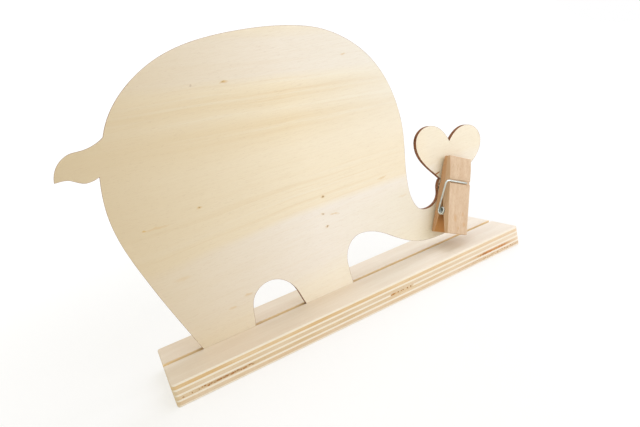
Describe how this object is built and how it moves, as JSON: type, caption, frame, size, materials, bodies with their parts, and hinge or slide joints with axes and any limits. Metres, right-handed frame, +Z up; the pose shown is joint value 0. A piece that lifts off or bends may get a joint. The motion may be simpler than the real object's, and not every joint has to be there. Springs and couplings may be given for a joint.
{
  "type": "photo holder",
  "caption": "Thin wooden elephant panel standing in a slotted laminated wood base, with a small sprung clothes peg on its raised trunk to hold a photo.",
  "frame": {"origin": "the middle of the base's underside, on the surface that the holder stands on", "axes": "+X along the base, from the elephant's tail to its trunk and heart; +Y from the front, where the peg is, to the back; +Z up"},
  "size_m": [0.1821, 0.034, 0.1221],
  "materials": {
    "base_long_ply": "pale birch veneer, long grain, sanded and bare",
    "base_cross_ply": "tan birch veneer, end grain, sanded and bare",
    "panel_face": "pale birch veneer, sanded and bare, with edges browned by the cut",
    "panel_core": "core veneer, seen only at edges browned by the cut",
    "peg_wood": "sanded beech, bare",
    "spring_wire": "bright galvanised wire",
    "glue": "thin film of dried wood glue"
  },
  "bodies": {
    "base": {"base_ply_1_front": "base_long_ply", "base_ply_1_rear": "base_long_ply", "base_ply_2_front": "base_cross_ply", "base_ply_2_rear": "base_cross_ply", "base_ply_3_front": "base_long_ply", "base_ply_3_rear": "base_long_ply", "base_ply_4_front": "base_cross_ply", "base_ply_4_rear": "base_cross_ply", "base_ply_5_front": "base_long_ply", "base_ply_5_rear": "base_long_ply", "base_ply_6": "base_cross_ply", "base_ply_7": "base_long_ply", "base_ply_8": "base_cross_ply", "base_ply_9": "base_long_ply"},
    "panel": {"panel_front_ply": "panel_face", "panel_core_ply": "panel_core", "panel_back_ply": "panel_face", "peg_rear_jaw": "peg_wood", "peg_glue": "glue", "peg_spring": "spring_wire"},
    "peg_lever": {"peg_front_jaw": "peg_wood"}
  },
  "joints": [
    {"name": "panel_lift", "type": "slide", "parent": "base", "child": "panel", "axis": [0, 0, 1], "range_m": [0, 0.012]},
    {"name": "peg_squeeze", "type": "hinge", "parent": "panel", "child": "peg_lever", "pos_m": [0.05665, -0.00594, 0.02451], "axis": [0.9085, 0, -0.4179], "range_deg": [0, 34], "stiffness_Nm_per_rad": 0.01, "springref_deg": -11.46, "deforming": ["peg_spring"]}
  ]
}
